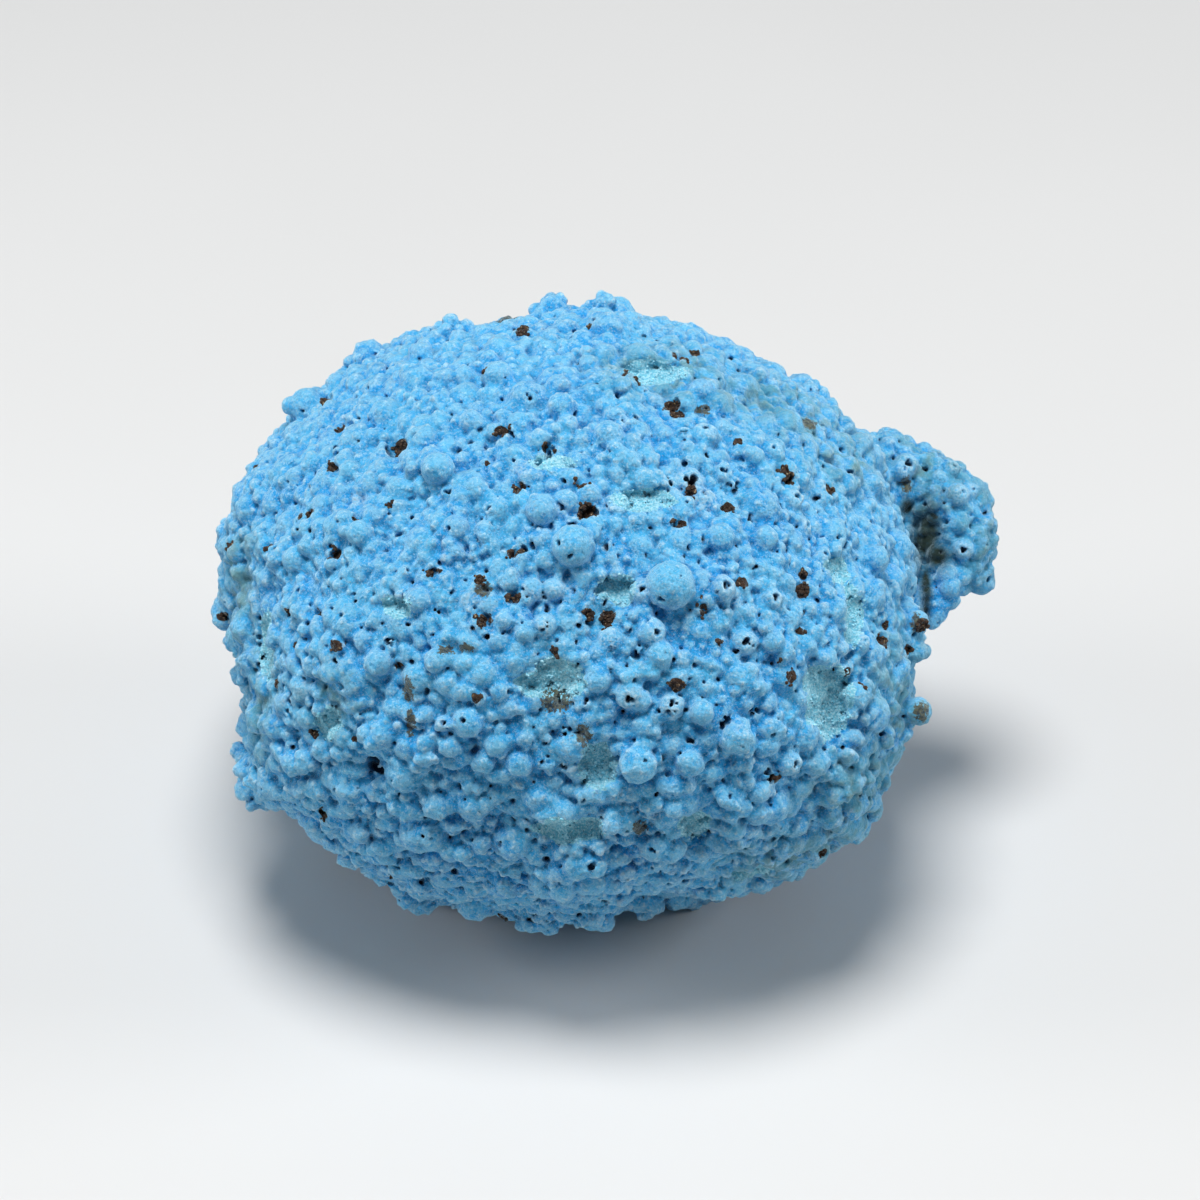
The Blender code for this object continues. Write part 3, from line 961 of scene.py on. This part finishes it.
def slabs(obj):
    """Parts the skin into closed pieces side by side, each with its share of the triangles."""
    mesh = obj.data
    mesh.calc_loop_triangles()
    places = floats(mesh.vertices, "co", 3)
    normals = floats(mesh.vertex_normals, "vector", 3)
    faces = np.empty(len(mesh.loop_triangles) * 3, np.int32)
    mesh.loop_triangles.foreach_get("vertices", faces)
    faces = single(faces.reshape(-1, 3), len(places))
    measures = {name: floats(mesh.attributes[name].data, "value", 1)[:, 0] for name in MEASURES}
    middles = places[faces].mean(axis=1)[:, 0]
    cuts = np.quantile(middles, np.linspace(0, 1, SLABS + 1))
    pieces = []
    for k in range(SLABS):
        inside = (middles >= cuts[k]) & ((middles < cuts[k + 1]) | (k == SLABS - 1))
        used, part = np.unique(faces[inside], return_inverse=True)
        part = part.reshape(-1, 3)
        points, caps, owners = capped(places[used], part)
        piece = bpy.data.meshes.new(f"crust_{k + 1}")
        piece.from_pydata(points * MM, [], np.vstack((part, caps)))
        piece.shade_smooth()
        for name, values in measures.items():
            layer = piece.attributes.new(name, "FLOAT", "POINT")
            layer.data.foreach_set("value", np.append(values[used], values[used][owners]))
        vertex_normals = np.vstack((normals[used], normals[used][owners]))
        piece.normals_split_custom_set_from_vertices(vertex_normals)
        pieces.append(linked(f"crust_{k + 1}", piece))
    return pieces


def capped(points, faces):
    """Closes a part of the skin: each rim gets a fan of faces around its own middle."""
    edges = np.vstack((faces[:, (0, 1)], faces[:, (1, 2)], faces[:, (2, 0)]))
    codes = edges[:, 0].astype(np.int64) * len(points) + edges[:, 1]
    back = edges[:, 1].astype(np.int64) * len(points) + edges[:, 0]
    rims = edges[~np.isin(codes, back)]
    group = {}

    def top(v):
        while group.setdefault(v, v) != v:
            v = group[v]
        return v

    for a, b in rims.tolist():
        group[top(a)] = top(b)
    tops = np.array([top(a) for a, _ in rims.tolist()])
    owners = np.unique(tops)
    centres = np.array([points[rims[tops == owner]].mean(axis=(0, 1)) for owner in owners])
    where = len(points) + np.searchsorted(owners, tops)
    caps = np.column_stack((rims[:, 1], rims[:, 0], where))
    return np.vstack((points, centres)), caps, owners


class Paint:
    """A material's node tree under construction."""

    def __init__(self, name):
        self.material = bpy.data.materials.new(name)
        self.material.use_nodes = True
        self.tree = self.material.node_tree
        self.shader = self.tree.nodes["Principled BSDF"]
        self.place = self.add("ShaderNodeTexCoord").outputs["Object"]

    def add(self, kind, sockets=None, **settings):
        node = self.tree.nodes.new(kind)
        for name, value in settings.items():
            setattr(node, name, value)
        for name, value in (sockets or {}).items():
            self.put(value, node.inputs[name])
        return node

    def put(self, value, socket):
        if isinstance(value, bpy.types.NodeSocket):
            self.tree.links.new(value, socket)
        else:
            socket.default_value = value

    def measure(self, name):
        return self.add("ShaderNodeAttribute", attribute_name=name).outputs["Fac"]

    def height(self):
        return self.add("ShaderNodeSeparateXYZ", {"Vector": self.place}).outputs["Z"]

    def noise(self, size, detail=3, rough=0.55, shift=0.0):
        """Smooth noise whose features are about so many millimetres across."""
        place = self.add("ShaderNodeVectorMath", {0: self.place, 1: (shift, shift * 0.7, -shift)})
        sockets = {"Vector": place.outputs[0], "Scale": 1 / (size * MM), "Detail": detail, "Roughness": rough}
        return self.add("ShaderNodeTexNoise", sockets).outputs["Fac"]

    def domes(self, size):
        """Small uneven domes about so many millimetres across, from 0 at the top downwards."""
        sockets = {"Vector": self.place, "Scale": 0.8 / (size * MM), "Detail": 1.0}
        waves = self.add("ShaderNodeTexNoise", sockets).outputs["Color"]
        wander = self.add("ShaderNodeVectorMath", {0: waves}, operation="SCALE")
        wander.inputs["Scale"].default_value = size * MM
        spots = self.add("ShaderNodeVectorMath", {0: self.place, 1: wander.outputs[0]})
        sockets = {"Vector": spots.outputs[0], "Scale": 1 / (size * MM)}
        distance = self.add("ShaderNodeTexVoronoi", sockets).outputs["Distance"]
        return self.math("MULTIPLY", distance, -1.0)

    def math(self, operation, first, second=0.0, clamp=False):
        node = self.add("ShaderNodeMath", {0: first, 1: second}, operation=operation, use_clamp=clamp)
        return node.outputs[0]

    def spans(self, value, low, high, start=0.0, end=1.0):
        """A value's place between two others, eased and held to the ends."""
        sockets = {"Value": value, "From Min": low, "From Max": high, "To Min": start, "To Max": end}
        node = self.add("ShaderNodeMapRange", sockets, interpolation_type="SMOOTHSTEP")
        return node.outputs["Result"]

    def mix(self, share, first, second, kind="MIX"):
        node = self.add("ShaderNodeMix", data_type="RGBA", blend_type=kind)
        self.put(share, node.inputs["Factor"])
        self.put(first, node.inputs[6])
        self.put(second, node.inputs[7])
        return node.outputs[2]

    def finish(self, colour, roughness, height=None, strength=0.5, distance=0.1):
        self.put(colour, self.shader.inputs["Base Color"])
        self.put(roughness, self.shader.inputs["Roughness"])
        if height is not None:
            sockets = {"Height": height, "Strength": strength, "Distance": distance * MM}
            bump = self.add("ShaderNodeBump", sockets)
            self.put(bump.outputs[0], self.shader.inputs["Normal"])
        return self.material


def rgb(*shades):
    """A colour for the shader from its three shades of 0 to 255."""
    linear = [((s / 255 + 0.055) / 1.055) ** 2.4 if s > 10 else s / 255 / 12.92 for s in shades]
    return (*linear, 1.0)


AZURE = rgb(24, 160, 230)
PALE_AZURE = rgb(92, 198, 242)
FROSTED_HIGHLIGHT = rgb(134, 206, 240)
# Deep blue for random mottling, and for painted shade in the broad creases
DEEP_BLUE = rgb(14, 100, 162)
CREASE_SHADE_BLUE = rgb(12, 82, 126)
FROST = rgb(204, 234, 248)
GREEN_BLUE = rgb(120, 202, 226)
PALE_GREEN = rgb(178, 230, 244)
INK_BLUE = rgb(24, 88, 124)
# Darkest blue of the painted shade in pores and cavities
PORE = rgb(14, 48, 74)
SHADE = rgb(40, 56, 48)
LIMONITE = rgb(68, 47, 30)
DARK_LIMONITE = rgb(38, 25, 17)
OLIVE = rgb(96, 86, 42)
TAN = rgb(176, 150, 112)
BUFF = rgb(124, 146, 124)
TEAL = rgb(80, 150, 168)


def crust_paint():
    """Azure microcrystals: paler where the crust stands out, from frost and a painted highlight; painted shade in
    deep blue in its creases and in its pores.
    """
    paint = Paint("shattuckite_crust")
    colour = paint.mix(paint.spans(paint.noise(2.2, 4), 0.38, 0.64, 0.0, 0.55), AZURE, PALE_AZURE)
    # Frost and a painted highlight: paler where the crust rises, on the spherules' tops
    frost_and_top_highlight = paint.spans(paint.noise(0.5, 5, 0.7, shift=1.1), 0.3, 0.7, -0.09, 0.09)
    frost_and_top_highlight = paint.spans(paint.math("ADD", paint.measure("rise"), frost_and_top_highlight), -0.03, 0.08, 0.0, 0.72)
    colour = paint.mix(frost_and_top_highlight, colour, FROSTED_HIGHLIGHT)
    tone = paint.math("ADD", paint.measure("tone"), paint.noise(0.7, 2))
    colour = paint.mix(paint.spans(tone, 0.9, 1.6, 0.0, 0.4), colour, PALE_AZURE)
    # Painted shade: deep blue in the broad creases, weaker higher up on the nodule
    low = paint.math("ADD", paint.measure("rise"), paint.spans(paint.noise(0.22, 3), 0.2, 0.8, -0.05, 0.05))
    calm = paint.spans(paint.height(), 6 * MM, 18 * MM, 1.0, 0.45)
    low = paint.math("MULTIPLY", paint.spans(low, -0.02, -0.14, 0.0, 0.5), calm)
    colour = paint.mix(low, colour, DEEP_BLUE)
    # Painted shade: darker blue in the fine creases between the spherules, weaker higher up
    fine_crease_shade = paint.math("ADD", paint.measure("fine"), paint.spans(paint.noise(0.18, 3), 0.2, 0.8, -0.02, 0.02))
    fine_crease_shade = paint.math("MULTIPLY", paint.spans(fine_crease_shade, -0.014, -0.05, 0.0, 0.7), calm)
    colour = paint.mix(fine_crease_shade, colour, CREASE_SHADE_BLUE)
    # Frost and a painted highlight: whitish on the sharpest rims and tops
    high = paint.math("ADD", paint.measure("fine"), paint.spans(paint.noise(0.16, 3), 0.2, 0.8, -0.04, 0.04))
    colour = paint.mix(paint.spans(high, 0.025, 0.065, 0.0, 0.6), colour, FROST)
    grains = paint.spans(paint.noise(0.12, 3, 0.7), 0.52, 0.64)
    colour = paint.mix(paint.math("MULTIPLY", grains, 0.42), colour, FROST)
    dark = paint.spans(paint.noise(0.15, 3, 0.7, shift=0.3), 0.52, 0.64)
    colour = paint.mix(paint.math("MULTIPLY", dark, 0.3), colour, DEEP_BLUE)
    patchy = paint.math("MULTIPLY", paint.measure("tint"), paint.spans(paint.noise(1.2, 4, shift=0.2), 0.42, 0.6))
    colour = paint.mix(paint.math("MULTIPLY", patchy, 0.7), colour, TEAL)
    buff = paint.math("MULTIPLY", paint.measure("tint"), paint.spans(paint.noise(1.0, 4, shift=0.7), 0.5, 0.62))
    colour = paint.mix(paint.math("MULTIPLY", buff, 0.4), colour, BUFF)
    fuzz = paint.spans(paint.noise(0.15, 2), 0.4, 0.6, 0.0, 0.42)
    colour = paint.mix(paint.math("MULTIPLY", paint.measure("ring"), fuzz), colour, FROST)
    ragged = paint.spans(paint.noise(0.5, 3), 0.3, 0.7, -0.35, 0.35)
    green = paint.mix(paint.spans(paint.noise(0.12, 2, shift=0.5), 0.42, 0.62), GREEN_BLUE, PALE_GREEN)
    green = paint.mix(paint.spans(paint.noise(0.16, 2, shift=0.9), 0.64, 0.74), green, INK_BLUE)
    inside = paint.spans(paint.math("ADD", paint.measure("hollow"), ragged), 0.4, 0.6)
    colour = paint.mix(inside, colour, green)
    olive = paint.mix(paint.spans(paint.noise(0.16, 3), 0.44, 0.62), OLIVE, DARK_LIMONITE)
    frayed = paint.spans(paint.noise(0.24, 4, 0.7), 0.3, 0.7, -0.45, 0.5)
    stained = paint.spans(paint.math("ADD", paint.measure("stain"), frayed), 0.45, 0.75, 0.0, 0.9)
    colour = paint.mix(stained, colour, olive)
    shaded = paint.math("MULTIPLY", paint.measure("shade"), paint.spans(paint.noise(0.8, 3), 0.3, 0.6, 0.8, 1.0))
    colour = paint.mix(shaded, colour, SHADE)
    # Painted shade: darker the deeper a point lies in a pore or cavity
    colour = paint.mix(paint.spans(paint.measure("bored"), 0.08, 0.36), colour, PORE)
    rusty = paint.mix(paint.spans(paint.noise(0.14, 3), 0.4, 0.6), LIMONITE, DARK_LIMONITE)
    colour = paint.mix(paint.spans(paint.measure("speck"), 0.45, 0.6), colour, rusty)
    height = paint.math("ADD", paint.noise(0.13, 4, 0.75), paint.math("MULTIPLY", paint.domes(0.26), 0.6))
    paint.shader.inputs["Sheen Weight"].default_value = 0.85
    paint.shader.inputs["Sheen Roughness"].default_value = 0.35
    paint.shader.inputs["Sheen Tint"].default_value = FROST
    paint.shader.inputs["Specular IOR Level"].default_value = 0.3
    return paint.finish(colour, 0.85, height, 0.9, 0.12)


def druse_paint():
    """Pale green-blue grains with deep blue ones among them."""
    paint = Paint("green_blue_druse")
    colour = paint.mix(paint.spans(paint.noise(0.15, 1), 0.4, 0.6), GREEN_BLUE, PALE_GREEN)
    colour = paint.mix(paint.spans(paint.noise(0.2, 1, shift=0.4), 0.66, 0.72), colour, INK_BLUE)
    return paint.finish(colour, 0.6, paint.noise(0.05, 2), 0.4, 0.02)


def limonite_paint():
    """Crumbly brown limonite, from rust to nearly black."""
    paint = Paint("limonite")
    colour = paint.mix(paint.spans(paint.noise(0.25, 2), 0.35, 0.65), DARK_LIMONITE, LIMONITE)
    colour = paint.mix(paint.spans(paint.noise(0.12, 2, shift=0.4), 0.6, 0.72), colour, TAN)
    return paint.finish(colour, 0.8, paint.noise(0.06, 3), 0.6, 0.04)


def floor():
    mesh = bpy.data.meshes.new("floor")
    bm = bmesh.new()
    bmesh.ops.create_grid(bm, x_segments=1, y_segments=1, size=1.2)
    bm.to_mesh(mesh)
    bm.free()
    obj = linked("floor", mesh)
    paint = Paint("floor_paint")
    colour = paint.mix(paint.noise(60, 2), rgb(212, 212, 211), rgb(218, 218, 217))
    mesh.materials.append(paint.finish(colour, 0.6))


def light(name, place, aim, size, power):
    data = bpy.data.lights.new(name, "AREA")
    data.shape = "DISK"
    data.size = size
    data.energy = power
    obj = bpy.data.objects.new(name, data)
    obj.location = place
    obj.rotation_euler = (aim - place).to_track_quat("-Z", "Y").to_euler()
    bpy.context.scene.collection.objects.link(obj)


def lights():
    """A large soft light from above, and a pale world that fills the shadows."""
    middle = CENTRE * MM
    light("top_light", middle + Vector((-0.02, -0.02, 0.34)), middle, 0.16, 1.23)
    light("left_light", middle + Vector((-0.34, 0.0, 0.14)), middle, 0.16, 0.43)
    light("right_light", middle + Vector((0.34, 0.0, 0.14)), middle, 0.16, 0.55)
    world = bpy.data.worlds.new("studio")
    world.use_nodes = True
    background = world.node_tree.nodes["Background"]
    background.inputs["Color"].default_value = rgb(214, 222, 232)
    background.inputs["Strength"].default_value = 0.15
    bpy.context.scene.world = world
    bpy.context.scene.view_settings.view_transform = "Standard"


def finished(pieces):
    for piece in pieces:
        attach(piece, "root")
        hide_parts(NODE)


def main():
    import time
    global clock
    begun = time.time()
    clock = lambda text: print(text, round(time.time() - begun, 1))
    camera()
    floor()
    lights()
    crust = nodule()
    clock("marked")
    pieces = slabs(crust)
    clock("slabs")
    druse = grains(crust, "hollow_druse", "hollow", DRUSE, druse_paint(), 4)
    crumbs = grains(crust, "limonite_crumbs", "speck", CRUMBS, limonite_paint(), 8)
    for obj in list(bpy.data.objects):
        if obj.name in ("crust", "spherules", "cutters", "bumps", "pores", "ground"):
            bpy.data.objects.remove(obj)
    skin_paint = crust_paint()
    for piece in pieces:
        piece.data.materials.append(skin_paint)
    finished([*pieces, druse, crumbs])
    for piece in [*pieces, druse, crumbs]:
        print(piece.name, len(piece.data.polygons))


main()
